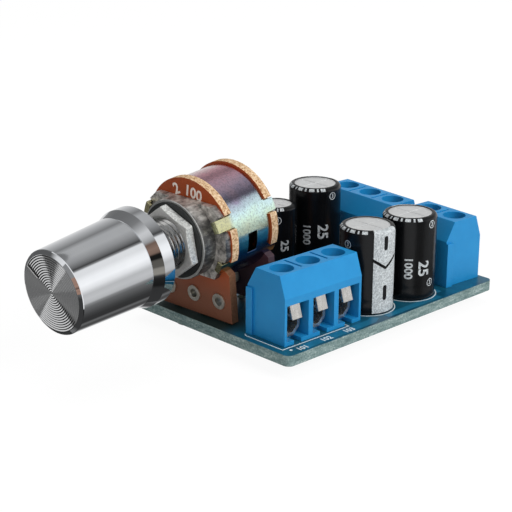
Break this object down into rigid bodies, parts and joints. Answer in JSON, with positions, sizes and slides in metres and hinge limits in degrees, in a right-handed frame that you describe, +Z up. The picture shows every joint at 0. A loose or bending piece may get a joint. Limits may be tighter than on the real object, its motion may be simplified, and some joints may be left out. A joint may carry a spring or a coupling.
{
  "type": "audio amplifier board",
  "caption": "Small stereo amplifier board with a volume control and turned knob, screw terminals and upright capacitors.",
  "frame": {"origin": "bottom centre of the whole board's bounding box, at the ends of the soldered leads", "axes": "+Z up from the board, the knob points to -Y, the input terminals face +X"},
  "size_m": [0.033, 0.0708, 0.0254],
  "materials": {
    "solder_mask": "glossy teal solder mask over fibreglass",
    "solder": "bright tinned solder",
    "blue_plastic": "satin blue moulding",
    "cage_steel": "nickel-plated steel",
    "plate_steel": "bright nickel-plated steel",
    "screw_steel": "zinc-plated steel",
    "phenolic": "orange-brown phenolic paper",
    "tinned_tag": "silver-plated tags and hollow rivets",
    "passivated_steel": "rainbow-passivated steel",
    "zinc_casting": "matt grey zinc casting",
    "black_washer": "blackened steel",
    "galvanised": "galvanised steel",
    "shaft_metal": "turned aluminium",
    "rotor_plastic": "moulded cream plastic",
    "polished_shell": "mirror-bright plated aluminium",
    "spun_disc": "aluminium with fine concentric turning",
    "can_aluminium": "bright drawn aluminium",
    "black_sleeve": "glossy black shrunk sleeve with pale print",
    "seal_rubber": "black rubber",
    "tinned_wire": "tinned wire",
    "chip_plastic": "matt black moulding",
    "ceramic": "ochre dipped ceramic"
  },
  "bodies": {
    "board": {"circuit_board": "solder_mask", "solder_joints": "solder", "front_wafer": "phenolic", "front_terminals": "tinned_tag", "rear_wafer": "phenolic", "rear_terminals": "tinned_tag", "pot_can": "passivated_steel", "front_plate": "zinc_casting", "lock_washer": "black_washer", "hex_nut": "galvanised", "front_capacitor_can": "can_aluminium", "front_capacitor_sleeve": "black_sleeve", "front_capacitor_seal": "seal_rubber", "right_capacitor_can": "can_aluminium", "right_capacitor_sleeve": "black_sleeve", "right_capacitor_seal": "seal_rubber", "rear_capacitor_can": "can_aluminium", "rear_capacitor_sleeve": "black_sleeve", "rear_capacitor_seal": "seal_rubber", "small_capacitor_can": "can_aluminium", "small_capacitor_sleeve": "black_sleeve", "small_capacitor_seal": "seal_rubber", "capacitor_leads": "tinned_wire", "amplifier_chip": "chip_plastic", "chip_legs": "tinned_wire", "ceramic_capacitors": "ceramic", "input_housing": "blue_plastic", "input_cage_1": "cage_steel", "input_cage_2": "cage_steel", "input_cage_3": "cage_steel", "output_housing": "blue_plastic", "output_cage_1": "cage_steel", "output_cage_2": "cage_steel", "output_cage_3": "cage_steel", "power_housing": "blue_plastic", "power_cage_1": "cage_steel", "power_cage_2": "cage_steel"},
    "knob": {"knob_shell": "polished_shell", "knob_insert": "spun_disc", "shaft": "shaft_metal", "front_wiper": "rotor_plastic", "rear_wiper": "rotor_plastic"},
    "input_clamp_1": {"input_clamp_1": "plate_steel"},
    "input_screw_1": {"input_screw_1": "screw_steel"},
    "input_clamp_2": {"input_clamp_2": "plate_steel"},
    "input_screw_2": {"input_screw_2": "screw_steel"},
    "input_clamp_3": {"input_clamp_3": "plate_steel"},
    "input_screw_3": {"input_screw_3": "screw_steel"},
    "output_clamp_1": {"output_clamp_1": "plate_steel"},
    "output_screw_1": {"output_screw_1": "screw_steel"},
    "output_clamp_2": {"output_clamp_2": "plate_steel"},
    "output_screw_2": {"output_screw_2": "screw_steel"},
    "output_clamp_3": {"output_clamp_3": "plate_steel"},
    "output_screw_3": {"output_screw_3": "screw_steel"},
    "power_clamp_1": {"power_clamp_1": "plate_steel"},
    "power_screw_1": {"power_screw_1": "screw_steel"},
    "power_clamp_2": {"power_clamp_2": "plate_steel"},
    "power_screw_2": {"power_screw_2": "screw_steel"}
  },
  "joints": [
    {"name": "volume", "type": "hinge", "parent": "board", "child": "knob", "pos_m": [-0.00348, -0.01959, 0.01545], "axis": [0.0492, -0.9949, -0.088], "range_deg": [-205, 95]},
    {"name": "input_press_1", "type": "slide", "parent": "board", "child": "input_clamp_1", "axis": [0, 0, 1], "range_m": [-0.0021, 0.0002]},
    {"name": "input_turn_1", "type": "hinge", "parent": "input_clamp_1", "child": "input_screw_1", "pos_m": [0.01036, -0.00502, 0.0094], "axis": [0, 0, 1], "range_deg": [-1512.5, 144.5]},
    {"name": "input_press_2", "type": "slide", "parent": "board", "child": "input_clamp_2", "axis": [0, 0, 1], "range_m": [-0.0021, 0.0002]},
    {"name": "input_turn_2", "type": "hinge", "parent": "input_clamp_2", "child": "input_screw_2", "pos_m": [0.01047, 0.00006, 0.0094], "axis": [0, 0, 1], "range_deg": [-1512.5, 144.5]},
    {"name": "input_press_3", "type": "slide", "parent": "board", "child": "input_clamp_3", "axis": [0, 0, 1], "range_m": [-0.0021, 0.0002]},
    {"name": "input_turn_3", "type": "hinge", "parent": "input_clamp_3", "child": "input_screw_3", "pos_m": [0.01058, 0.00514, 0.0094], "axis": [0, 0, 1], "range_deg": [-1512.5, 144.5]},
    {"name": "output_press_1", "type": "slide", "parent": "board", "child": "output_clamp_1", "axis": [0, 0, 1], "range_m": [-0.0021, 0.0002]},
    {"name": "output_turn_1", "type": "hinge", "parent": "output_clamp_1", "child": "output_screw_1", "pos_m": [-0.00056, 0.03082, 0.0094], "axis": [0, 0, 1], "range_deg": [-1512.5, 144.5]},
    {"name": "output_press_2", "type": "slide", "parent": "board", "child": "output_clamp_2", "axis": [0, 0, 1], "range_m": [-0.0021, 0.0002]},
    {"name": "output_turn_2", "type": "hinge", "parent": "output_clamp_2", "child": "output_screw_2", "pos_m": [-0.00563, 0.03117, 0.0094], "axis": [0, 0, 1], "range_deg": [-1512.5, 144.5]},
    {"name": "output_press_3", "type": "slide", "parent": "board", "child": "output_clamp_3", "axis": [0, 0, 1], "range_m": [-0.0021, 0.0002]},
    {"name": "output_turn_3", "type": "hinge", "parent": "output_clamp_3", "child": "output_screw_3", "pos_m": [-0.0107, 0.03151, 0.0094], "axis": [0, 0, 1], "range_deg": [-1512.5, 144.5]},
    {"name": "power_press_1", "type": "slide", "parent": "board", "child": "power_clamp_1", "axis": [0, 0, 1], "range_m": [-0.0021, 0.0002]},
    {"name": "power_turn_1", "type": "hinge", "parent": "power_clamp_1", "child": "power_screw_1", "pos_m": [0.01145, 0.0314, 0.0094], "axis": [0, 0, 1], "range_deg": [-1512.5, 144.5]},
    {"name": "power_press_2", "type": "slide", "parent": "board", "child": "power_clamp_2", "axis": [0, 0, 1], "range_m": [-0.0021, 0.0002]},
    {"name": "power_turn_2", "type": "hinge", "parent": "power_clamp_2", "child": "power_screw_2", "pos_m": [0.00638, 0.03173, 0.0094], "axis": [0, 0, 1], "range_deg": [-1512.5, 144.5]}
  ],
  "couplings": [
    {"joint": "input_turn_1", "follows": "input_press_1", "rad_per_m": 12566},
    {"joint": "input_turn_2", "follows": "input_press_2", "rad_per_m": 12566},
    {"joint": "input_turn_3", "follows": "input_press_3", "rad_per_m": 12566},
    {"joint": "output_turn_1", "follows": "output_press_1", "rad_per_m": 12566},
    {"joint": "output_turn_2", "follows": "output_press_2", "rad_per_m": 12566},
    {"joint": "output_turn_3", "follows": "output_press_3", "rad_per_m": 12566},
    {"joint": "power_turn_1", "follows": "power_press_1", "rad_per_m": 12566},
    {"joint": "power_turn_2", "follows": "power_press_2", "rad_per_m": 12566}
  ]
}
